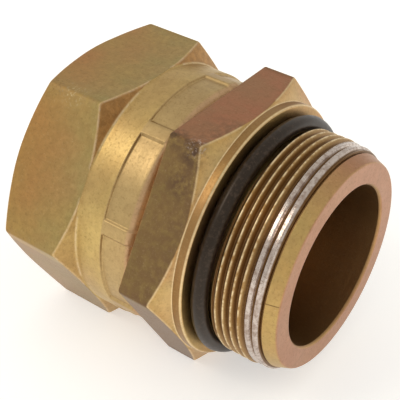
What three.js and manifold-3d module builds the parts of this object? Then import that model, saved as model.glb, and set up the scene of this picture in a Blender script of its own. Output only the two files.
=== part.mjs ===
// Swivel-nut adapter: a bored steel body with a threaded, O-ring sealed stud in front
// and a hexagon nut that is crimped onto the body's tail and turns freely on it.
// Millimetres. The fitting's axis is X, with +X out of the stud; +Z is up.
// Stations along the axis are measured from the shoulder, the face that seals on the port.

import * as THREE from "three";
import { mergeVertices } from "three/addons/utils/BufferGeometryUtils.js";
import Module from "manifold-3d";

const wasm = await Module();
wasm.setup();

// ---- driving dimensions -------------------------------------------------------------

const BORE_DIAMETER = 30;
const BORE_EDGE_BREAK = 0.4;
const TAIL_BORE_DIAMETER = 25;
const BORE_STEP_LENGTH = 3;

// stud: metric male thread with an O-ring undercut and a plain nose
const STUD_THREAD_DIAMETER = 42;
const STUD_THREAD_PITCH = 1.5;
const STUD_LENGTH = 15.6;
const NOSE_LENGTH = 2.3;
const NOSE_BACK_INSET = 1.05; // insets are radial, from the thread's crest
const NOSE_FACE_INSET = 1.9;
const UNDERCUT_INSET = 1.7;

// body hexagon and the round collar in front of it
const BODY_ACROSS_FLATS = 48;
const BODY_HEX_LENGTH = 8.3;
const BODY_CHAMFER_ANGLE = 30;
const COLLAR_LENGTH = 1.8;
const COLLAR_INSET = 0.15; // collar radius inside the flats
const COLLAR_EDGE_BREAK = 0.3;
const SEAT_LAND_WIDTH = 0.75; // the shoulder's clear edge, outside the O-ring

// O-rings
const STUD_RING_CORD = 2.9;
const CONE_RING_CORD = 2;
const RING_GAP = 0.35; // free space around a ring

// nut hexagon, round collar and crimped band
const NUT_ACROSS_FLATS = 48;
const NUT_HEX_LENGTH = 15.6;
const NUT_CHAMFER_ANGLE = 30;
const NUT_COLLAR_LENGTH = 5.3;
const NUT_COLLAR_INSET = 0.1;
const CRIMP_BAND_LENGTH = 6.8;
const CRIMP_DEPTH = 0.45;
const CRIMP_RIDGES = 8;
const CRIMP_RIDGE_WIDTH = 2.8;
const CRIMP_RIDGE_PHASE = 118;
const LIP_CHAMFER = 1.6;

// nut bore: female thread with a relief and a lead-in
const NUT_THREAD_DIAMETER = 42;
const NUT_THREAD_PITCH = 2;
const NUT_THREAD_RELIEF = 2;
const NUT_MOUTH_CHAMFER = 1.4;

// tail of the body, inside the nut
const NECK_DIAMETER = 36.8;
const RETAINING_LENGTH = 3.4;
const CONE_LARGE_DIAMETER = 35.6;
const CONE_LENGTH = 10;
const CONE_HALF_ANGLE = 12;
const CONE_RING_SETBACK = 3.6; // from the cone's large end to the ring groove

// fits between the nut and the body
const NUT_FRONT_GAP = 0.4;
const NECK_CLEARANCE = 0.5;
const RETAINING_GAP = 0.4;
const POCKET_CLEARANCE = 0.6;

// facets
const ROUND_SIDES = 48;
const THREAD_SIDES = 24;
const RING_SECTION_SIDES = 10;

// ---- sizes worked out from them -----------------------------------------------------

const degrees = Math.PI / 180;
const boreRadius = BORE_DIAMETER / 2;
const tailBoreRadius = TAIL_BORE_DIAMETER / 2;
const studRadius = STUD_THREAD_DIAMETER / 2;
const undercutRadius = studRadius - UNDERCUT_INSET;
const noseBackRadius = studRadius - NOSE_BACK_INSET;
const noseFaceRadius = studRadius - NOSE_FACE_INSET;
const studThreadStart = STUD_RING_CORD + 2 * RING_GAP;
const noseStart = STUD_LENGTH - NOSE_LENGTH;

const collarRadius = BODY_ACROSS_FLATS / 2 - COLLAR_INSET;
const bodyHexFront = -COLLAR_LENGTH;
const bodyHexBack = bodyHexFront - BODY_HEX_LENGTH;

const nutCollarRadius = NUT_ACROSS_FLATS / 2 - NUT_COLLAR_INSET;
const nutFront = bodyHexBack - NUT_FRONT_GAP;
const crimpBack = nutFront - CRIMP_BAND_LENGTH;
const nutHexFront = crimpBack - NUT_COLLAR_LENGTH;
const nutRear = nutHexFront - NUT_HEX_LENGTH;
const bandRadius = nutCollarRadius - CRIMP_DEPTH;

const neckRadius = NECK_DIAMETER / 2;
const lipRadius = neckRadius + NECK_CLEARANCE;
const nutMinorRadius = threadMinorRadius(NUT_THREAD_DIAMETER, NUT_THREAD_PITCH);
const nutMajorRadius = NUT_THREAD_DIAMETER / 2;
const reliefRadius = nutMajorRadius + 0.1;
const retainingRadius = reliefRadius - POCKET_CLEARANCE;
const retainingFront = crimpBack - RETAINING_GAP;
const coneFront = retainingFront - RETAINING_LENGTH;
const tailEnd = coneFront - CONE_LENGTH;
const nutThreadFront = coneFront - NUT_THREAD_RELIEF;
const coneRingStation = coneFront - CONE_RING_SETBACK;
const coneGrooveRadius = coneRadiusAt(coneRingStation) - 0.75 * CONE_RING_CORD;

// the model's origin is on the axis, halfway along the fitting
const originStation = (STUD_LENGTH + nutRear) / 2;

function threadMinorRadius(diameter, pitch) {
  return diameter / 2 - 0.5413 * pitch;
}

function coneRadiusAt(station) {
  return CONE_LARGE_DIAMETER / 2 - (coneFront - station) * Math.tan(CONE_HALF_ANGLE * degrees);
}

function hexCornerRadius(acrossFlats) {
  return acrossFlats / 2 / Math.cos(30 * degrees);
}

// ---- solids -------------------------------------------------------------------------

function toSolid(geometry) {
  const bare = geometry.index ? geometry.clone() : geometry;
  bare.deleteAttribute("normal");
  bare.deleteAttribute("uv");
  const merged = mergeVertices(bare, 1e-4);
  const vertProperties = new Float32Array(merged.attributes.position.array);
  const triVerts = new Uint32Array(merged.index.array);
  return new wasm.Manifold(new wasm.Mesh({ numProp: 3, vertProperties, triVerts }));
}

function toGeometry(solid) {
  const mesh = solid.getMesh();
  const geometry = new THREE.BufferGeometry();
  geometry.setAttribute("position", new THREE.BufferAttribute(mesh.vertProperties, 3));
  geometry.setIndex(new THREE.BufferAttribute(mesh.triVerts, 1));
  geometry.computeVertexNormals();
  return geometry;
}

// A turned solid from [station, radius] points, listed from the rear to the front, and
// closed on the axis at both ends.
function turned(points) {
  const first = points[0];
  const last = points[points.length - 1];
  const closed = [[first[0], 0], ...points, [last[0], 0]];
  const profile = closed.map(([station, radius]) => new THREE.Vector2(radius, station));
  const geometry = new THREE.LatheGeometry(profile, ROUND_SIDES);
  return toSolid(geometry.rotateZ(-90 * degrees));
}

// A hexagonal bar between two stations, with a flat on top.
function hexBar(acrossFlats, back, front) {
  const bar = new THREE.CylinderGeometry(
    hexCornerRadius(acrossFlats),
    hexCornerRadius(acrossFlats),
    front - back,
    6,
  );
  bar.rotateZ(-90 * degrees);
  bar.rotateX(30 * degrees);
  bar.translate((front + back) / 2, 0, 0);
  return toSolid(bar);
}

// How far a corner chamfer reaches back along the hexagon from the face it starts on.
function chamferRun(acrossFlats, faceRadius, angle) {
  return (hexCornerRadius(acrossFlats) - faceRadius) * Math.tan(angle * degrees);
}

// A right-hand screw ridge. Its section is given as [axial offset, radius] points, clockwise
// when the front is to the right and the axis is below.
function screwRidge(section, pitch, start, turns) {
  const steps = Math.round(turns * THREAD_SIDES);
  const count = section.length;
  const positions = [];
  for (let i = 0; i <= steps; i += 1) {
    const angle = (i / THREAD_SIDES) * 2 * Math.PI;
    for (const [offset, radius] of section) {
      const station = start + offset + (i / THREAD_SIDES) * pitch;
      positions.push(station, radius * Math.cos(angle), radius * Math.sin(angle));
    }
  }
  const index = [];
  for (let i = 0; i < steps; i += 1) {
    for (let j = 0; j < count; j += 1) {
      const a = i * count + j;
      const b = i * count + ((j + 1) % count);
      index.push(a, b + count, b, a, a + count, b + count);
    }
  }
  for (let j = 1; j < count - 1; j += 1) {
    const last = steps * count;
    index.push(0, j, j + 1);
    index.push(last, last + j + 1, last + j);
  }
  const geometry = new THREE.BufferGeometry();
  geometry.setAttribute("position", new THREE.Float32BufferAttribute(positions, 3));
  geometry.setIndex(index);
  return toSolid(geometry);
}

// ---- body ---------------------------------------------------------------------------

function bodyHexagon() {
  const corner = hexCornerRadius(BODY_ACROSS_FLATS);
  const run = chamferRun(BODY_ACROSS_FLATS, collarRadius, BODY_CHAMFER_ANGLE);
  const envelope = turned([
    [bodyHexBack, corner],
    [bodyHexFront - run, corner],
    [bodyHexFront, collarRadius],
  ]);
  return hexBar(BODY_ACROSS_FLATS, bodyHexBack, bodyHexFront).intersect(envelope);
}

function bodyTurning() {
  const threadRoot = threadMinorRadius(STUD_THREAD_DIAMETER, STUD_THREAD_PITCH);
  return turned([
    [tailEnd, coneRadiusAt(tailEnd)],
    [coneRingStation - coneGrooveHalf(), coneRadiusAt(coneRingStation - coneGrooveHalf())],
    [coneRingStation - coneGrooveHalf(), coneGrooveRadius],
    [coneRingStation + coneGrooveHalf(), coneGrooveRadius],
    [coneRingStation + coneGrooveHalf(), coneRadiusAt(coneRingStation + coneGrooveHalf())],
    [coneFront, CONE_LARGE_DIAMETER / 2],
    [coneFront, retainingRadius],
    [retainingFront, retainingRadius],
    [retainingFront, neckRadius],
    [bodyHexBack, neckRadius],
    [bodyHexBack, collarRadius],
    [-COLLAR_EDGE_BREAK, collarRadius],
    [0, collarRadius - COLLAR_EDGE_BREAK],
    [0, collarRadius - COLLAR_EDGE_BREAK - SEAT_LAND_WIDTH],
    [0, undercutRadius],
    [studThreadStart, undercutRadius],
    [studThreadStart, threadRoot],
    [noseStart, threadRoot],
    [noseStart, noseBackRadius],
    [STUD_LENGTH, noseFaceRadius],
  ]);
}

function coneGrooveHalf() {
  return CONE_RING_CORD / 2 + RING_GAP;
}

function studThread() {
  const pitch = STUD_THREAD_PITCH;
  const root = threadMinorRadius(STUD_THREAD_DIAMETER, pitch) - 0.15;
  const turns = (noseStart - studThreadStart) / pitch + 0.25;
  const ridge = screwRidge(
    [
      [-0.47 * pitch, root],
      [-0.08 * pitch, studRadius],
      [0.08 * pitch, studRadius],
      [0.47 * pitch, root],
    ],
    pitch,
    studThreadStart,
    turns,
  );
  const envelope = turned([
    [studThreadStart, studRadius - 0.2],
    [studThreadStart + 0.3, studRadius + 1],
    [noseStart - pitch / 2, studRadius + 1],
    [noseStart, noseBackRadius],
  ]);
  return ridge.intersect(envelope);
}

function throughBore() {
  const edge = BORE_EDGE_BREAK;
  return turned([
    [tailEnd - 1, tailBoreRadius + edge],
    [tailEnd, tailBoreRadius + edge],
    [tailEnd + edge, tailBoreRadius],
    [bodyHexBack, tailBoreRadius],
    [bodyHexBack + BORE_STEP_LENGTH, boreRadius],
    [STUD_LENGTH - edge, boreRadius],
    [STUD_LENGTH, boreRadius + edge],
    [STUD_LENGTH + 1, boreRadius + edge],
  ]);
}

function adapterBody() {
  return bodyTurning().add(bodyHexagon()).add(studThread()).subtract(throughBore());
}

// ---- nut ----------------------------------------------------------------------------

function nutHexagon() {
  const corner = hexCornerRadius(NUT_ACROSS_FLATS);
  const run = chamferRun(NUT_ACROSS_FLATS, nutCollarRadius, NUT_CHAMFER_ANGLE);
  const envelope = turned([
    [nutRear, nutCollarRadius],
    [nutRear + run, corner],
    [nutHexFront - run, corner],
    [nutHexFront, nutCollarRadius],
  ]);
  return hexBar(NUT_ACROSS_FLATS, nutRear, nutHexFront).intersect(envelope);
}

function nutTurning() {
  return turned([
    [nutHexFront - 1, nutCollarRadius],
    [crimpBack, nutCollarRadius],
    [crimpBack, bandRadius],
    [nutFront - LIP_CHAMFER, bandRadius],
    [nutFront, bandRadius - LIP_CHAMFER],
  ]);
}

function crimpRidges() {
  const height = nutCollarRadius - lipRadius;
  const ridges = [];
  for (let i = 0; i < CRIMP_RIDGES; i += 1) {
    const bar = new THREE.BoxGeometry(CRIMP_BAND_LENGTH + 1, height, CRIMP_RIDGE_WIDTH);
    bar.translate((nutFront + crimpBack - 1) / 2, lipRadius + 0.5 + height / 2, 0);
    bar.rotateX((CRIMP_RIDGE_PHASE + (i * 360) / CRIMP_RIDGES) * degrees);
    ridges.push(toSolid(bar));
  }
  const envelope = turned([
    [crimpBack - 1, nutCollarRadius],
    [nutFront - LIP_CHAMFER, nutCollarRadius],
    [nutFront, nutCollarRadius - LIP_CHAMFER],
  ]);
  return ridges.reduce((all, ridge) => all.add(ridge)).intersect(envelope);
}

function nutBore() {
  return turned([
    [nutRear - 1, nutMajorRadius + 1],
    [nutRear, nutMajorRadius + NUT_MOUTH_CHAMFER - 1],
    [nutRear + NUT_MOUTH_CHAMFER, nutMinorRadius],
    [nutThreadFront, nutMinorRadius],
    [nutThreadFront, reliefRadius],
    [crimpBack, reliefRadius],
    [crimpBack, lipRadius],
    [nutFront + 1, lipRadius],
  ]);
}

function nutThread() {
  const pitch = NUT_THREAD_PITCH;
  const inner = nutMinorRadius - 0.3;
  const turns = (nutThreadFront - nutRear) / pitch + 1.25;
  return screwRidge(
    [
      [-0.46 * pitch, inner],
      [-0.07 * pitch, nutMajorRadius],
      [0.07 * pitch, nutMajorRadius],
      [0.46 * pitch, inner],
    ],
    pitch,
    nutRear - pitch / 2,
    turns,
  );
}

function swivelNut() {
  const blank = nutHexagon().add(nutTurning()).add(crimpRidges());
  return blank.subtract(nutBore()).subtract(nutThread());
}

// ---- O-rings ------------------------------------------------------------------------

// A ring whose round section just clears the groove floor.
function oRing(cord, floorRadius, station) {
  const ring = new THREE.TorusGeometry(
    floorRadius + RING_GAP + cord / 2,
    cord / 2,
    RING_SECTION_SIDES,
    ROUND_SIDES,
  );
  ring.rotateY(90 * degrees);
  ring.translate(station, 0, 0);
  return toSolid(ring);
}

// ---- materials and assembly ---------------------------------------------------------

const bodyZinc = new THREE.MeshStandardMaterial({
  color: 0x8f6d4a,
  roughness: 0.38,
  metalness: 0.9,
});
const nutZinc = new THREE.MeshStandardMaterial({
  color: 0xa68850,
  roughness: 0.36,
  metalness: 0.9,
});
const rubber = new THREE.MeshStandardMaterial({
  color: 0x2c2826,
  roughness: 0.5,
  metalness: 0,
});

function piece(name, solid, material) {
  const mesh = new THREE.Mesh(toGeometry(solid), material);
  mesh.name = name;
  mesh.position.x = -originStation;
  return mesh;
}

const fitting = new THREE.Group();
fitting.add(piece("adapter_body", adapterBody(), bodyZinc));
fitting.add(piece("swivel_nut", swivelNut(), nutZinc));
fitting.add(
  piece("stud_o_ring", oRing(STUD_RING_CORD, undercutRadius, studThreadStart / 2), rubber),
);
fitting.add(
  piece("cone_o_ring", oRing(CONE_RING_CORD, coneGrooveRadius, coneRingStation), rubber),
);

export default fitting;
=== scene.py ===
"""Looks of a swivel-nut adapter with an O-ring sealed stud.

Stations run along the fitting's axis from the shoulder, towards the stud, in millimetres.
Angles go round the axis from +Y towards +Z. Sizes are in millimetres, and become metres where a
mesh, a pattern or a place is made from them.
"""

import math

import bpy
import numpy as np
from mathutils import Matrix, Vector


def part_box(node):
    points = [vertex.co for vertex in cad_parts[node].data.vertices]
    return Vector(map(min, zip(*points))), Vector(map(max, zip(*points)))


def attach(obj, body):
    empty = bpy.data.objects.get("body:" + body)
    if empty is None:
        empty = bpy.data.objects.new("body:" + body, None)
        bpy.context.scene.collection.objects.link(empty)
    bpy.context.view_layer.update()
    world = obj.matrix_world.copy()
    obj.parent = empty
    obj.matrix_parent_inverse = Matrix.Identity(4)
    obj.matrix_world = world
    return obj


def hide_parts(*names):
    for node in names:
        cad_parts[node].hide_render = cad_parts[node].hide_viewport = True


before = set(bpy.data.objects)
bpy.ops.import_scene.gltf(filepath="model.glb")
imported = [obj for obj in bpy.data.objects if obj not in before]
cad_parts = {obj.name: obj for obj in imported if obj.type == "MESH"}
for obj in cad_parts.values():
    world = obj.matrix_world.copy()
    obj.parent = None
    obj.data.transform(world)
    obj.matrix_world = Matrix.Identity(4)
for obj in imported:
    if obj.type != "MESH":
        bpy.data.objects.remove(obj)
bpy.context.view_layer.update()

MM = 0.001

# ---- sizes in millimetres ---------------------------------------------------------------

# how deep a 60 degree thread is cut, as a share of its pitch
THREAD_DEPTH = 0.5413

STUD_LENGTH = 15.6
STUD_RADIUS = 21.0
STUD_PITCH = 1.5
STUD_ROOT = STUD_RADIUS - THREAD_DEPTH * STUD_PITCH
THREAD_START = 3.6
LEAD_RADIUS = 20.3
LEAD_LENGTH = 0.5
RUBBED_BACK = 10.2
RUBBED_RADIUS = 20.7
RUBBED_FRONT_RADIUS = 20.66
RUN_OUT = 12.9
NOSE_START = 13.3
NOSE_GROOVE_DEPTH = 0.25
NOSE_BACK_RADIUS = 19.95
NOSE_FACE_RADIUS = 19.1
UNDERCUT_RADIUS = 19.3

ACROSS_FLATS = 48.0
CORNER_ROUND = 0.9
COLLAR_RADIUS = 23.85
COLLAR_EDGE = 0.3
BODY_FRONT = -1.8
BODY_BACK = -10.1
CHAMFER_SLOPE = math.tan(math.radians(30))

BORE_RADIUS = 15.0
TAIL_BORE_RADIUS = 12.5
BORE_STEP = 3.0
BORE_EDGE = 0.4

NUT_FRONT = -10.5
CRIMP_BACK = -17.3
NUT_HEX_FRONT = -22.6
NUT_REAR = -38.2
NUT_COLLAR_RADIUS = 23.9
CRIMP_DEPTH = 0.45
CRIMP_SIDE = 0.6
RIDGES = 8
RIDGE_ANGLES = math.radians(118) + np.arange(RIDGES) * 2 * math.pi / RIDGES
RIDGE_HALF_WIDTH = 1.4
LIP_CHAMFER = 1.6
LIP_RADIUS = 18.9
NUT_PITCH = 2.0
NUT_MAJOR = 21.0
NUT_MINOR = NUT_MAJOR - THREAD_DEPTH * NUT_PITCH
RELIEF_RADIUS = 21.1
NUT_THREAD_FRONT = -23.1
MOUTH_CHAMFER = 1.4

NECK_RADIUS = 18.4
RETAINING_RADIUS = 20.5
RETAINING_FRONT = -17.7
CONE_FRONT = -21.1
CONE_RADIUS = 17.8
CONE_SLOPE = math.tan(math.radians(12))
TAIL_END = -31.1
CONE_RING_STATION = CONE_FRONT - 3.6
CONE_RING_CORD = 2.0
STUD_RING_CORD = 2.9
RING_GAP = 0.35
MOULD_LINE = 0.05

# how finely the meshes are divided: rows along a thread in millimetres, then counts
STUD_ROW_STEP = 0.075
NUT_ROW_STEP = 0.155
FILLET_STEPS = 4
BODY_COLUMNS = 228
NUT_COLUMNS = 260
RING_COLUMNS = 240
CORD_ROWS = 36

# what wear adds to the roughness: dull on worn corners, bright on rubbed crests
WORN_CORNER = 0.3
RUBBED_CREST = -0.2

# the model's origin is this far along the axis from the shoulder
ORIGIN = STUD_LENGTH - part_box("adapter_body")[1][0] / MM


# ---- shapes -----------------------------------------------------------------------------


def angles_round(crowded, base):
    """Angles round the axis: `base` even steps, and more of them in each crowded place, given
    as (centre, half width, count). Two that nearly meet become one."""
    least = 4e-4
    places = [np.linspace(0, 2 * np.pi, base, endpoint=False)]
    for centre, half, count in crowded:
        places.append(centre + np.linspace(-half, half, count))
    every = np.unique(np.round(np.concatenate(places) % (2 * np.pi), 5))
    return every[np.append(True, np.diff(every) > least)]


def from_corner(theta):
    """Angle from the nearest corner of a hexagon with flats on top and below."""
    return np.abs((theta + np.pi / 6) % (np.pi / 3) - np.pi / 6)


def hexagon(theta):
    """Radius of a hexagonal bar with flats on top and below: half the width over flats divided
    by the cosine of the angle from the flat's middle, and near a corner the far side of the
    circle that rounds it and touches both flats."""
    off = from_corner(theta)
    half, nose = ACROSS_FLATS / 2, CORNER_ROUND
    flat = half / np.cos(np.pi / 6 - off)
    centre = (half - nose) / np.cos(np.pi / 6)
    arc = centre * np.cos(off) + np.sqrt(np.maximum(nose**2 - (centre * np.sin(off)) ** 2, 0))
    touch = np.arctan2(nose * np.sin(np.pi / 6), centre + nose * np.cos(np.pi / 6))
    return np.where(off < touch, arc, flat)


def rounded_outline(corners, theta):
    """Rows of a closed outline that turns round the axis. Each corner is (station, radius,
    fillet), where station and radius may vary round the axis. A corner with a fillet becomes
    the quadratic curve from a point on one side, drawn towards the corner, to a point on the
    other, each a fillet's length off and at most two fifths of the shorter side. One more row
    lies outside each end, one and a half fillets off and never past a side's middle, so that
    the flats beside the curve stay flat. A corner without a fillet is one row. Returns the
    stations and radii of all rows."""
    ones = np.ones_like(theta)
    spots = [np.stack([ones * s, ones * r]) for s, r, _ in corners]
    rows = []
    for k, (_, _, fillet) in enumerate(corners):
        spot = spots[k]
        if not fillet:
            rows.append(spot)
            continue
        sides = [spots[k - 1] - spot, spots[(k + 1) % len(spots)] - spot]
        reaches = [np.linalg.norm(side, axis=0) + 1e-9 for side in sides]
        cut = np.minimum(fillet, 0.4 * np.minimum(*reaches))
        start, end = (spot + side / reach * cut for side, reach in zip(sides, reaches))
        outside = [
            spot + side / reach * np.minimum(1.5 * fillet, 0.48 * reach)
            for side, reach in zip(sides, reaches)
        ]
        rows.append(outside[0])
        for t in np.linspace(0, 1, FILLET_STEPS + 1):
            rows.append((1 - t) ** 2 * start + 2 * t * (1 - t) * spot + t**2 * end)
        rows.append(outside[1])
    rows = np.stack(rows)
    return rows[:, 0], rows[:, 1]


def smooth(rise):
    """A straight rise from 0 to 1 made smooth at both ends: three times its square less twice
    its cube."""
    return rise * rise * (3 - 2 * rise)


def screw_form(station, theta, pitch, root, crest, start, crest_flat):
    """Radius of a right-hand screw. How far along the pitch a point is, counting its turn round
    the axis, sets a wave that is flat at the crest, flat at the root and nearly straight
    between, a third of the way to a smooth rise. The flats are shares of half the pitch."""
    root_flat, softness = 0.1, 0.35
    along = (station - start) / pitch - theta / (2 * np.pi)
    away = np.abs((along + 0.5) % 1 - 0.5) * 2
    rise = np.clip((1 - root_flat - away) / (1 - root_flat - crest_flat), 0, 1)
    rise = smooth(rise) * softness + rise * (1 - softness)
    return root + (crest - root) * rise


def ring_mesh(name, station, radius, theta, masks):
    """A closed surface of rows of points round the axis: y and z are the radius times the
    cosine and sine of the angle. The rows run forward outside and back inside, so that the
    faces point outwards, and the last row joins the first. `masks` are values at the points,
    kept as attributes that the finish reads: between 0 and 1, but for `dulled`, which is added
    to the roughness and may be below 0."""
    rows, columns = station.shape
    place = np.stack(
        [
            (station - ORIGIN) * MM,
            radius * np.cos(theta) * MM,
            radius * np.sin(theta) * MM,
        ],
        axis=-1,
    ).reshape(-1, 3)
    row, column = np.meshgrid(np.arange(rows), np.arange(columns), indexing="ij")
    next_row = (row + 1) % rows
    next_column = (column + 1) % columns
    quads = np.stack(
        [
            row * columns + column,
            row * columns + next_column,
            next_row * columns + next_column,
            next_row * columns + column,
        ],
        axis=-1,
    ).reshape(-1, 4)
    mesh = bpy.data.meshes.new(name)
    mesh.vertices.add(len(place))
    mesh.vertices.foreach_set("co", place.astype(np.float32).ravel())
    mesh.loops.add(quads.size)
    mesh.loops.foreach_set("vertex_index", quads.astype(np.int32).ravel())
    mesh.polygons.add(len(quads))
    mesh.polygons.foreach_set("loop_start", np.arange(len(quads), dtype=np.int32) * 4)
    mesh.update(calc_edges=True)
    mesh.polygons.foreach_set("use_smooth", np.ones(len(quads), dtype=bool))
    for label, values in masks.items():
        layer = mesh.attributes.new(label, "FLOAT", "POINT")
        layer.data.foreach_set("value", np.ascontiguousarray(values, dtype=np.float32).ravel())
    if mesh.validate():
        print("mended", name)
    piece = bpy.data.objects.new(name, mesh)
    bpy.context.scene.collection.objects.link(piece)
    return piece


def near(value, target, width):
    """1 where the value is at the target, falling to 0 a width away."""
    return np.clip(1 - np.abs(value - target) / width, 0, 1)


def between(value, low, high, soft):
    """1 between low and high, falling to 0 within `soft` outside them."""
    return np.clip((value - low) / soft + 1, 0, 1) * np.clip((high - value) / soft + 1, 0, 1)


def corner_distance(theta, hex_radius):
    """Distance round the hexagon from its nearest corner: the angle times the radius."""
    return from_corner(theta) * hex_radius


# ---- body -------------------------------------------------------------------------------

# places that need more columns: the hexagon's corners, and the scratch along the nose
HEX_CORNERS = [(k * math.pi / 3, 0.035, 12) for k in range(6)]
SCRATCH_ANGLE = math.radians(167)
SCRATCH = [(SCRATCH_ANGLE, 0.012, 9)]


def cone_radius(station):
    """Radius of the tail's seat cone, which narrows towards the rear."""
    return CONE_RADIUS - (CONE_FRONT - station) * CONE_SLOPE


CONE_GROOVE_RADIUS = cone_radius(CONE_RING_STATION) - 0.75 * CONE_RING_CORD


def stud_thread_rows(theta):
    """Rows of the stud's thread. The radius is the least of three: the screw form, a lead that
    rises over the first half millimetre, and a limit that falls where the last crests are
    rubbed flat and again to the root at the end."""
    station = np.arange(THREAD_START + 0.04, RUN_OUT, STUD_ROW_STEP)[:, None]
    thread = screw_form(
        station, theta, STUD_PITCH, STUD_ROOT, STUD_RADIUS, THREAD_START + 0.45, 0.12
    )
    limit = np.interp(
        station,
        [RUBBED_BACK - 0.3, RUBBED_BACK, RUN_OUT - 0.3, RUN_OUT],
        [STUD_RADIUS, RUBBED_RADIUS, RUBBED_FRONT_RADIUS, STUD_ROOT],
    )
    lead = np.interp(
        station, [THREAD_START, THREAD_START + LEAD_LENGTH], [LEAD_RADIUS, STUD_RADIUS]
    )
    radius = np.minimum(np.minimum(thread, limit), lead)
    return [(float(s), r, 0) for s, r in zip(station[:, 0], radius)]


def adapter_body():
    """The outline runs forward over the tail, hexagon, collar and stud, and back down the bore.
    The hexagon ends where the chamfer's cone cuts it, further back the further out it is."""
    theta = angles_round(HEX_CORNERS + SCRATCH, BODY_COLUMNS)
    hex_radius = hexagon(theta)
    hex_front = BODY_FRONT - (hex_radius - COLLAR_RADIUS) * CHAMFER_SLOPE
    groove = CONE_RING_CORD / 2 + RING_GAP
    back, front = CONE_RING_STATION - groove, CONE_RING_STATION + groove
    neck = NOSE_BACK_RADIUS - NOSE_GROOVE_DEPTH
    corners = [
        (TAIL_END, cone_radius(TAIL_END), 0.4),
        (back, cone_radius(back), 0.15),
        (back, CONE_GROOVE_RADIUS, 0.2),
        (front, CONE_GROOVE_RADIUS, 0.2),
        (front, cone_radius(front), 0.15),
        (CONE_FRONT, CONE_RADIUS, 0.2),
        (CONE_FRONT, RETAINING_RADIUS, 0.4),
        (RETAINING_FRONT, RETAINING_RADIUS, 0.4),
        (RETAINING_FRONT, NECK_RADIUS, 0.2),
        (BODY_BACK, NECK_RADIUS, 0.2),
        (BODY_BACK, hex_radius, 0.28),
        (hex_front, hex_radius, 0.28),
        (BODY_FRONT, COLLAR_RADIUS, 0.12),
        (-COLLAR_EDGE, COLLAR_RADIUS, 0.12),
        (0, COLLAR_RADIUS - COLLAR_EDGE, 0.12),
        (0, UNDERCUT_RADIUS, 0.4),
        (THREAD_START, UNDERCUT_RADIUS, 0.3),
        *stud_thread_rows(theta),
        (RUN_OUT + 0.06, neck, 0.04),
        (NOSE_START - 0.12, neck, 0.04),
        (NOSE_START, NOSE_BACK_RADIUS, 0.08),
        (STUD_LENGTH, NOSE_FACE_RADIUS, 0.28),
        (STUD_LENGTH, BORE_RADIUS + BORE_EDGE, 0.12),
        (STUD_LENGTH - BORE_EDGE, BORE_RADIUS, 0.12),
        (BODY_BACK + BORE_STEP, BORE_RADIUS, 0.6),
        (BODY_BACK, TAIL_BORE_RADIUS, 0.6),
        (TAIL_END + BORE_EDGE, TAIL_BORE_RADIUS, 0.12),
        (TAIL_END, TAIL_BORE_RADIUS + BORE_EDGE, 0.12),
    ]
    station, radius = rounded_outline(corners, theta)

    # where each finish lies; widths are in millimetres
    outer = radius > COLLAR_RADIUS - 0.02
    flat = near(radius, hex_radius, 0.05) * between(station, BODY_BACK, hex_front, 0.02) * outer
    crest = np.clip((radius - STUD_ROOT) / (STUD_RADIUS - STUD_ROOT), 0, 1)
    threaded = between(station, THREAD_START, RUN_OUT + 0.2, 0.05)
    threaded *= radius > UNDERCUT_RADIUS + 0.2
    nose = between(station, NOSE_START, STUD_LENGTH - 0.2, 0.1)
    nose *= radius > NOSE_FACE_RADIUS - 0.2
    rim = np.maximum(
        near(corner_distance(theta, hex_radius), 0, 1.3) * flat,
        near(station, BODY_BACK, 0.35) * outer,
    )
    bare = (
        threaded
        * between(station, RUBBED_BACK - 0.1, RUN_OUT - 0.1, 0.15)
        * np.clip((radius - STUD_ROOT - 0.06) / 0.12, 0, 1)
    )
    masks = {
        "flat": flat,
        "upper_flat": flat * between(theta, math.radians(62), math.radians(118), 0.04),
        # painted shade: the flats below are darkened
        "painted_shade_under_flat": flat * (np.sin(theta) < -0.1),
        "stained": flat * near(station, hex_front, 2.4) * (theta > math.radians(100)),
        "rim": rim,
        "dulled": WORN_CORNER * rim + RUBBED_CREST * bare,
        # painted highlights: bright lines along the hexagon's front edge and the collar's edges
        "painted_edge_highlight": np.maximum.reduce(
            [
                near(station, hex_front, 0.2) * outer * (radius > COLLAR_RADIUS + 0.6) * 0.6,
                near(station, BODY_FRONT, 0.16) * near(radius, COLLAR_RADIUS, 0.3),
                near(station, -COLLAR_EDGE / 2, 0.25) * near(radius, COLLAR_RADIUS - 0.1, 0.3),
            ]
        ),
        "collar": between(station, BODY_FRONT + 0.12, -COLLAR_EDGE - 0.05, 0.05)
        * near(radius, COLLAR_RADIUS, 0.1),
        "thread": threaded,
        # painted shade in the thread's grooves, deepest at the root
        "groove": threaded * (1 - crest) ** 1.5,
        # painted highlight on the thread's crests
        "crest": threaded * np.clip(crest * 6 - 5, 0, 1),
        "bare": bare,
        "nose": nose,
        "nose_red": nose * np.clip(1.6 * np.cos(theta - math.radians(40)) - 0.2, 0, 1),
        "scratch": nose * near(theta, SCRATCH_ANGLE, 0.007),
        "face": near(station, STUD_LENGTH, 0.2) * (radius < NOSE_FACE_RADIUS + 0.1),
        # painted shade: the bore is darkened
        "inside": (radius < BORE_RADIUS + 0.15) & (station < STUD_LENGTH - 0.2),
    }
    return ring_mesh("adapter_body_steel", station, radius, theta, masks)


# ---- nut --------------------------------------------------------------------------------


def crimp_band_radius(theta):
    """Radius of the crimped band and how much of each point is ridge, from 0 to 1. The band
    stands at the collar's radius on each ridge and is pressed in between them, with a smooth
    side between the two."""
    gap = np.abs((theta[:, None] - RIDGE_ANGLES + np.pi) % (2 * np.pi) - np.pi)
    away = gap.min(axis=1) * NUT_COLLAR_RADIUS - RIDGE_HALF_WIDTH
    rise = smooth(np.clip(0.5 - away / CRIMP_SIDE, 0, 1))
    return NUT_COLLAR_RADIUS - CRIMP_DEPTH * (1 - rise), rise


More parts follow.
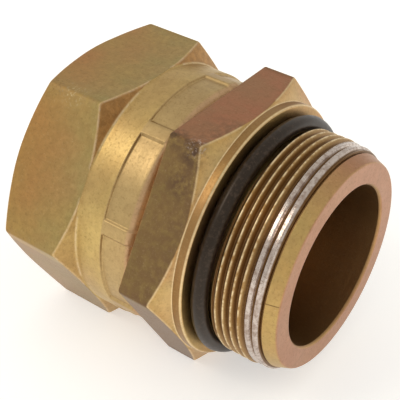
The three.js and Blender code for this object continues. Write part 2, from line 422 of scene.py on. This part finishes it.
def nut_thread_rows(theta):
    """Rows of the female thread, from the relief back to the mouth. The radius is the larger of
    the screw form, whose crests point inwards, and the cone that opens the mouth."""
    station = np.arange(NUT_THREAD_FRONT - 0.05, NUT_REAR + 0.2, -NUT_ROW_STEP)[:, None]
    thread = screw_form(station, theta, NUT_PITCH, NUT_MAJOR, NUT_MINOR, NUT_REAR, 0.24)
    mouth = NUT_MINOR + np.clip(MOUTH_CHAMFER - (station - NUT_REAR), 0, None)
    radius = np.maximum(thread, mouth)
    return [(float(s), r, 0) for s, r in zip(station[:, 0], radius)]


def swivel_nut():
    """The outline runs forward over the hexagon, collar and crimped band, and back inside. The
    hexagon is chamfered at both ends, as the body's is at its front."""
    ridge_sides = [
        (a + side * RIDGE_HALF_WIDTH / NUT_COLLAR_RADIUS, 0.012, 9)
        for a in RIDGE_ANGLES
        for side in (-1, 1)
    ]
    theta = angles_round(HEX_CORNERS + ridge_sides, NUT_COLUMNS)
    hex_radius = hexagon(theta)
    band, ridge = crimp_band_radius(theta)
    run = (hex_radius - NUT_COLLAR_RADIUS) * CHAMFER_SLOPE
    corners = [
        (NUT_REAR, NUT_COLLAR_RADIUS, 0.25),
        (NUT_REAR + run, hex_radius, 0.3),
        (NUT_HEX_FRONT - run, hex_radius, 0.3),
        (NUT_HEX_FRONT, NUT_COLLAR_RADIUS, 0.35),
        (CRIMP_BACK, NUT_COLLAR_RADIUS, 0.12),
        (CRIMP_BACK + 0.22, band, 0.15),
        (NUT_FRONT - LIP_CHAMFER, band, 0.7),
        (NUT_FRONT, band - LIP_CHAMFER, 0.35),
        (NUT_FRONT, LIP_RADIUS, 0.3),
        (CRIMP_BACK, LIP_RADIUS, 0.2),
        (CRIMP_BACK, RELIEF_RADIUS, 0.2),
        (NUT_THREAD_FRONT, RELIEF_RADIUS, 0.1),
        *nut_thread_rows(theta),
        (NUT_REAR, NUT_MINOR + MOUTH_CHAMFER, 0.12),
    ]
    station, radius = rounded_outline(corners, theta)

    # where each finish lies; widths are in millimetres
    outer = radius > NUT_COLLAR_RADIUS - 0.02
    front, rear = NUT_HEX_FRONT - run, NUT_REAR + run
    flat = near(radius, hex_radius, 0.05) * between(station, rear, front, 0.02) * outer
    banded = between(station, CRIMP_BACK - 0.05, NUT_FRONT, 0.05)
    banded *= radius > RELIEF_RADIUS + 0.4
    lip = between(station, NUT_FRONT - LIP_CHAMFER, NUT_FRONT, 0.2)
    lip *= radius > LIP_RADIUS + 1.6
    proud = radius > NUT_COLLAR_RADIUS + 0.25
    rim = near(corner_distance(theta, hex_radius), 0, 1.0) * flat
    masks = {
        "flat": flat,
        # the chamfers' deep orange: partly a deeper film, partly a painted dark reflection
        "chamfer": between(station, front + 0.05, NUT_HEX_FRONT - 0.05, 0.1)
        * proud
        * (1 - flat)
        * np.clip(1.5 * np.sin(theta) - 0.2, 0.3, 1),
        # painted shade: the flats below are darkened
        "painted_shade_under_flat": flat * (np.sin(theta) < -0.1),
        "rim": rim,
        "dulled": WORN_CORNER * rim,
        # painted highlights: bright lines along both edges of the chamfers
        "painted_edge_highlight": np.maximum(
            near(station, front, 0.22) * proud,
            near(station, NUT_HEX_FRONT, 0.2) * (hex_radius > NUT_COLLAR_RADIUS + 0.9) * outer,
        ),
        "band": banded,
        # painted reflection on the band's lip
        "lip": lip,
        # painted shade on the pressed sides of the ridges
        "pressed": banded * 4 * ridge * (1 - ridge),
        "heel": np.interp(station, [NUT_REAR + 1, NUT_REAR + 5], [1, 0]) * outer,
        # painted shade: the thread inside is darkened
        "inside": (radius < NUT_MINOR + MOUTH_CHAMFER + 0.03) & (station < CRIMP_BACK),
    }
    return ring_mesh("swivel_nut_steel", station, radius, theta, masks)


# ---- O-rings ----------------------------------------------------------------------------


def o_ring(name, cord, floor, station, flash=0.0):
    """A circle of the cord's radius carried round the axis, with a faint mould line round its
    outside: a bell curve that stands `flash` proud."""
    theta = np.linspace(0, 2 * np.pi, RING_COLUMNS, endpoint=False)
    turn = np.linspace(0, 2 * np.pi, CORD_ROWS, endpoint=False)[:, None]
    spread = 0.09
    proud = flash * np.exp(-(((turn - np.pi / 2) / spread) ** 2))
    reach = cord / 2 + proud
    all_round = np.ones_like(theta)
    along = (station - reach * np.cos(turn)) * all_round
    radius = (floor + RING_GAP + cord / 2 + reach * np.sin(turn)) * all_round
    return ring_mesh(name, along, radius, theta, {})


# ---- finishes ---------------------------------------------------------------------------


def colour(code):
    """sRGB hex to linear red, green, blue and alpha."""
    values = [int(code[k : k + 2], 16) / 255 for k in (1, 3, 5)]
    linear = [v / 12.92 if v <= 0.04045 else ((v + 0.055) / 1.055) ** 2.4 for v in values]
    return (*linear, 1.0)


def add(tree, kind, inputs=None, out=None, **settings):
    """Adds one shader node and returns its output, the one named `out` or else the first in
    use. `inputs` maps an input's name or number to a value or to another node's output."""
    made = tree.nodes.new(kind)
    for key, value in settings.items():
        setattr(made, key, value)
    for key, value in (inputs or {}).items():
        if isinstance(key, str):
            socket = next(s for s in made.inputs if s.enabled and s.name == key)
        else:
            socket = made.inputs[key]
        if isinstance(value, bpy.types.NodeSocket):
            tree.links.new(value, socket)
        else:
            socket.default_value = value
    return made.outputs[out] if out else next((o for o in made.outputs if o.enabled), None)


def new_finish(name):
    """A material with no nodes yet, and its tree."""
    material = bpy.data.materials.new(name)
    material.use_nodes = True
    material.node_tree.nodes.clear()
    return material, material.node_tree


def yellow_zinc(name, film, coats, bruises, grain, gloss):
    """Steel plated with zinc and dipped in yellow chromate. It gives a metal that shines
    softly through a film whose colour drifts with its thickness, between the two colours of
    `film`. `coats` are (mask, pattern, strength, colour): tones laid over the film where a
    mask says, or all over where it names none. `bruises` are (place, reach, pattern, colour) of
    knocked spots, the first two in millimetres. `grain` is the strength of the marks left by
    the tool, and `gloss` the range of roughness. The mask `dulled` adds to the roughness: worn
    corners are duller, and rubbed crests shine."""
    material, tree = new_finish(name)
    place = add(tree, "ShaderNodeTexCoord", out="Object")

    def blotches(size_mm, low, high, detail=3.0, where=place):
        wave = add(
            tree,
            "ShaderNodeTexNoise",
            {"Vector": where, "Scale": 1 / (size_mm * MM), "Detail": detail, "Roughness": 0.6},
        )
        return add(tree, "ShaderNodeMapRange", {"Value": wave, "From Min": low, "From Max": high})

    # sizes in millimetres: the film drifts over a flat and pools in patches; it is broken by
    # handling, with dark specks and a few bright flecks, drawn coarser than real so that they show
    patterns = {
        "even": 1.0,
        "drift": blotches(13, 0.36, 0.64, 1.0),
        "patch": blotches(5, 0.42, 0.68, 2.0),
        "broken": blotches(1.2, 0.38, 0.6, 5.0),
        "speck": blotches(0.45, 0.52, 0.72, 4.0),
        "fleck": blotches(0.32, 0.58, 0.74, 2.0),
    }
    shade = add(
        tree,
        "ShaderNodeMix",
        {"Factor": patterns["drift"], "A": colour(film[0]), "B": colour(film[1])},
        data_type="RGBA",
    )
    for label, pattern, strength, tone in coats:
        amount = add(
            tree, "ShaderNodeMath", {0: patterns[pattern], 1: strength}, operation="MULTIPLY"
        )
        if label:
            held = add(tree, "ShaderNodeAttribute", out="Fac", attribute_name=label)
            amount = add(tree, "ShaderNodeMath", {0: amount, 1: held}, operation="MULTIPLY")
        shade = add(
            tree,
            "ShaderNodeMix",
            {"Factor": amount, "A": shade, "B": colour(tone)},
            data_type="RGBA",
        )
    for spot, reach, pattern, tone in bruises:
        centre = ((spot[0] - ORIGIN) * MM, spot[1] * MM, spot[2] * MM)
        away = add(
            tree, "ShaderNodeVectorMath", {0: place, 1: centre}, out="Value", operation="DISTANCE"
        )
        near_by = add(
            tree,
            "ShaderNodeMapRange",
            {"Value": away, "From Min": reach * MM, "From Max": 0.1 * reach * MM},
        )
        amount = add(
            tree, "ShaderNodeMath", {0: near_by, 1: patterns[pattern]}, operation="MULTIPLY"
        )
        shade = add(
            tree,
            "ShaderNodeMix",
            {"Factor": amount, "A": shade, "B": colour(tone)},
            data_type="RGBA",
        )
    # tool marks, lengthways on the drawn flats and round the turned parts; real ones are about
    # 0.1 mm apart, and these are two or three times coarser so that they show
    along = add(tree, "ShaderNodeMapping", {"Vector": place, "Scale": (0.06, 1.0, 1.0)})
    around = add(tree, "ShaderNodeMapping", {"Vector": place, "Scale": (1.0, 0.03, 0.03)})
    drawn = blotches(0.3, 0.3, 0.7, 3.0, along)
    turned = blotches(0.22, 0.3, 0.7, 3.0, around)
    flat = add(tree, "ShaderNodeAttribute", out="Fac", attribute_name="flat")
    marks = add(
        tree, "ShaderNodeMix", {"Factor": flat, "A": turned, "B": drawn}, data_type="FLOAT"
    )
    pits = add(tree, "ShaderNodeMath", {0: patterns["speck"], 1: marks}, operation="ADD")
    relief = add(
        tree,
        "ShaderNodeBump",
        {"Strength": grain, "Distance": 0.04 * MM, "Height": pits},
    )
    rough = add(
        tree,
        "ShaderNodeMapRange",
        {"Value": pits, "From Min": 0.0, "From Max": 2.0, "To Min": gloss[0], "To Max": gloss[1]},
    )
    worn = add(tree, "ShaderNodeAttribute", out="Fac", attribute_name="dulled")
    dulled = add(tree, "ShaderNodeMath", {0: rough, 1: worn}, operation="ADD")
    shader = add(
        tree,
        "ShaderNodeBsdfPrincipled",
        {"Base Color": shade, "Metallic": 1.0, "Roughness": dulled, "Normal": relief},
    )
    add(tree, "ShaderNodeOutputMaterial", {"Surface": shader})
    return material


def body_zinc():
    """The body: turned surfaces light gold, and milled flats browner, redder on the upper one,
    stained along a front edge and darkened underneath by painted shade. The thread is brown,
    with painted shade in its grooves that deepens towards the root and painted highlights on
    its crests, and silver where the front crests are rubbed through to the zinc. The nose is
    redder on one side and has a scratch. The bore is darkened by painted shade, and the bright
    lines along the hexagon's front edge and the collar's edges are painted highlights."""
    coats = [
        ("", "patch", 0.35, "#B8A468"),
        ("flat", "even", 1.0, "#8C734A"),
        ("flat", "patch", 0.5, "#847046"),
        ("flat", "broken", 0.4, "#74583E"),
        ("upper_flat", "even", 0.85, "#AA7858"),
        ("upper_flat", "drift", 0.5, "#B46E54"),
        ("upper_flat", "patch", 0.4, "#9C7A58"),
        ("stained", "broken", 0.5, "#6A5242"),
        # painted shade on the flats below
        ("painted_shade_under_flat", "even", 0.6, "#7E6250"),
        ("collar", "even", 0.8, "#926E44"),
        ("nose", "drift", 0.6, "#BCA664"),
        ("nose_red", "even", 0.8, "#AE7A62"),
        ("scratch", "even", 0.9, "#4C3620"),
        ("thread", "even", 0.85, "#A48050"),
        # painted shade in the grooves
        ("groove", "even", 0.9, "#5E4024"),
        # painted highlight on the crests
        ("crest", "broken", 0.95, "#FFEABC"),
        ("bare", "even", 0.85, "#AC9C94"),
        ("bare", "broken", 0.6, "#F0E8E2"),
        ("bare", "speck", 0.4, "#8A7468"),
        ("face", "even", 0.85, "#B6866E"),
        ("face", "patch", 0.3, "#B08066"),
        # painted shade in the bore
        ("inside", "even", 0.85, "#98744C"),
        ("rim", "broken", 0.5, "#806450"),
        # painted highlights along the edges
        ("painted_edge_highlight", "even", 0.85, "#FAE4B8"),
        ("", "broken", 0.18, "#8A6A48"),
        ("", "speck", 0.3, "#7A5C38"),
        ("", "fleck", 0.1, "#F0DCB0"),
    ]
    # knocks on the corner between the top flat and the next one towards -Y
    bruises = [
        ((-4.9, -15.2, 23.0), 3.4, "broken", "#56443A"),
        ((-5.4, -18.0, 18.4), 3.2, "broken", "#644E3E"),
        ((-9.0, -13.6, 23.6), 2.6, "broken", "#66523E"),
        ((-4.6, -13.9, 24.0), 2.6, "speck", "#D8C8BC"),
    ]
    return yellow_zinc(
        "yellow_zinc_turned_steel",
        film=("#CCA868", "#C49868"),
        coats=coats,
        bruises=bruises,
        grain=0.22,
        gloss=(0.37, 0.51),
    )


def nut_zinc():
    """The nut: drawn flats olive gold, orange towards the heel, and darkened underneath by
    painted shade. The corner chamfers are deep orange, partly a deeper film and partly a
    painted dark reflection that is strongest on the upper ones, with painted highlights along
    their edges. The crimped band is tan, with painted shade on the pressed sides of its ridges
    and a painted reflection on its lip. The thread inside is darkened by painted shade."""
    coats = [
        ("", "patch", 0.4, "#B08E58"),
        ("flat", "even", 1.0, "#B2985E"),
        ("flat", "drift", 0.5, "#B4986A"),
        ("flat", "broken", 0.25, "#947A4C"),
        ("flat", "patch", 0.5, "#A29660"),
        ("heel", "even", 0.4, "#BC8644"),
        ("heel", "drift", 0.45, "#B87242"),
        # painted shade on the flats below
        ("painted_shade_under_flat", "even", 0.45, "#80644C"),
        # deeper film and painted dark reflection on the chamfers
        ("chamfer", "even", 0.7, "#B07C48"),
        ("chamfer", "broken", 0.4, "#8A6038"),
        ("band", "even", 0.6, "#B89C72"),
        # painted reflection on the lip
        ("lip", "even", 0.5, "#D0A486"),
        # painted shade on the pressed sides
        ("pressed", "even", 0.1, "#7A5E3C"),
        # painted shade inside the thread
        ("inside", "even", 0.5, "#7A5C38"),
        ("rim", "broken", 0.4, "#C0A478"),
        # painted highlights along the chamfers' edges
        ("painted_edge_highlight", "even", 0.25, "#E8CCA0"),
        ("painted_edge_highlight", "broken", 0.6, "#F6DCB8"),
        ("", "broken", 0.18, "#8A7048"),
        ("", "speck", 0.3, "#7A6238"),
        ("", "fleck", 0.1, "#F0DCB0"),
    ]
    # a dark and a bright spot on the corner between the top flat and the next one towards -Y
    bruises = [
        ((-33.8, -13.6, 23.9), 2.4, "speck", "#7C6440"),
        ((-30.6, -13.8, 23.9), 3.6, "speck", "#DCC89C"),
    ]
    return yellow_zinc(
        "yellow_zinc_drawn_steel",
        film=("#CEB272", "#C4A46C"),
        coats=coats,
        bruises=bruises,
        grain=0.2,
        gloss=(0.38, 0.52),
    )


def nitrile_rubber():
    """Moulded nitrile rubber with a trace of oil: nearly black, with a soft broad highlight
    and a little brown dust."""
    material, tree = new_finish("moulded_nitrile_rubber")
    place = add(tree, "ShaderNodeTexCoord", out="Object")
    dust = add(
        tree,
        "ShaderNodeTexNoise",
        {"Vector": place, "Scale": 1 / (0.7 * MM), "Detail": 4.0, "Roughness": 0.7},
    )
    settled = add(tree, "ShaderNodeMapRange", {"Value": dust, "From Min": 0.5, "From Max": 0.8})
    shade = add(
        tree,
        "ShaderNodeMix",
        {"Factor": settled, "A": colour("#1A120D"), "B": colour("#4A3C32")},
        data_type="RGBA",
    )
    rough = add(
        tree,
        "ShaderNodeMapRange",
        {"Value": dust, "From Min": 0.3, "From Max": 0.7, "To Min": 0.28, "To Max": 0.46},
    )
    relief = add(tree, "ShaderNodeBump", {"Strength": 0.2, "Distance": 0.03 * MM, "Height": dust})
    shader = add(
        tree,
        "ShaderNodeBsdfPrincipled",
        {
            "Base Color": shade,
            "Roughness": rough,
            "IOR": 1.5,
            "Specular Tint": colour("#F0DCC8"),
            "Normal": relief,
        },
    )
    add(tree, "ShaderNodeOutputMaterial", {"Surface": shader})
    return material


PAPER_GLOW = 0.46


def white_paper():
    """Matt white paper on a light table, which glows through it and softens the shadow."""
    material, tree = new_finish("white_paper")
    shader = add(
        tree,
        "ShaderNodeBsdfPrincipled",
        {
            "Base Color": colour("#E8E6E2"),
            "Roughness": 0.9,
            "Emission Color": colour("#FFFFFF"),
            "Emission Strength": PAPER_GLOW,
        },
    )
    add(tree, "ShaderNodeOutputMaterial", {"Surface": shader})
    return material


# ---- the pieces in place ----------------------------------------------------------------


def put(piece, finish, body, node):
    """Gives a piece its finish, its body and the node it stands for."""
    piece.data.materials.append(finish)
    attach(piece, body)
    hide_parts(node)


rubber = nitrile_rubber()
put(adapter_body(), body_zinc(), "body", "adapter_body")
put(swivel_nut(), nut_zinc(), "nut", "swivel_nut")
put(
    o_ring(
        "stud_o_ring_rubber", STUD_RING_CORD, UNDERCUT_RADIUS, THREAD_START / 2, MOULD_LINE
    ),
    rubber,
    "body",
    "stud_o_ring",
)
put(
    o_ring("cone_o_ring_rubber", CONE_RING_CORD, CONE_GROOVE_RADIUS, CONE_RING_STATION),
    rubber,
    "body",
    "cone_o_ring",
)

# ---- floor, light and camera ------------------------------------------------------------

FLOOR_Z = -ACROSS_FLATS / 2 * MM
FLOOR_HALF = 2.0


def floor():
    """A square of white paper, four metres wide, that the flats lie on."""
    mesh = bpy.data.meshes.new("floor")
    signs = [(-1, -1), (1, -1), (1, 1), (-1, 1)]
    corners = [(x * FLOOR_HALF, y * FLOOR_HALF, FLOOR_Z) for x, y in signs]
    mesh.from_pydata(corners, [], [(0, 1, 2, 3)])
    piece = bpy.data.objects.new("floor", mesh)
    bpy.context.scene.collection.objects.link(piece)
    piece.data.materials.append(white_paper())


def soft_box(name, place, size, power, tone):
    """An area light of a size in metres and a power in watts, which faces the origin."""
    data = bpy.data.lights.new(name, "AREA")
    data.shape = "RECTANGLE"
    data.size, data.size_y = size
    data.energy = power
    data.color = colour(tone)[:3]
    lamp = bpy.data.objects.new(name, data)
    bpy.context.scene.collection.objects.link(lamp)
    lamp.location = place
    lamp.rotation_mode = "QUATERNION"
    lamp.rotation_quaternion = (-Vector(place)).to_track_quat("-Z", "Y")


def camera(azimuth, elevation, roll, distance, lens, aside):
    """A camera round the shoulder's centre, `distance` millimetres off: azimuth 0 looks along
    +Y. It then turns aside by two angles, right and up, so that the shoulder's centre sits off
    the middle. Angles are in degrees."""
    a, e = math.radians(azimuth), math.radians(elevation)
    back = Vector((math.sin(a) * math.cos(e), -math.cos(a) * math.cos(e), math.sin(e)))
    right = (-back).cross(Vector((0, 0, 1))).normalized()
    up = right.cross(-back)
    look = -back + right * math.tan(math.radians(aside[0])) + up * math.tan(math.radians(aside[1]))
    look.normalize()
    right = look.cross(up).normalized()
    up = right.cross(look)
    c, s = math.cos(math.radians(roll)), math.sin(math.radians(roll))
    right, up = c * right + s * up, c * up - s * right
    data = bpy.data.cameras.new("camera")
    data.sensor_width = 36
    data.lens = lens
    data.clip_start, data.clip_end = 0.005, 20
    eye = bpy.data.objects.new("camera", data)
    bpy.context.scene.collection.objects.link(eye)
    turn = Matrix((right, up, -look)).transposed().to_4x4()
    eye.matrix_world = Matrix.Translation(
        back * distance * MM + Vector((-ORIGIN * MM, 0, 0))
    ) @ turn
    bpy.context.scene.camera = eye


def studio():
    """An even bright room, and a soft box high on the left in front."""
    world = bpy.data.worlds.new("studio")
    bpy.context.scene.world = world
    world.use_nodes = True
    back = world.node_tree.nodes["Background"]
    back.inputs["Color"].default_value = colour("#FFFDF8")
    back.inputs["Strength"].default_value = 0.74
    soft_box("key", (-0.28, -0.35, 0.54), size=(0.26, 0.26), power=0.9, tone="#FFF8EE")


floor()
studio()
camera(
    azimuth=30.9, elevation=38.79, roll=4.49, distance=178.6, lens=90.0, aside=(-3.65, 1.54)
)
bpy.context.scene.view_settings.view_transform = "Standard"
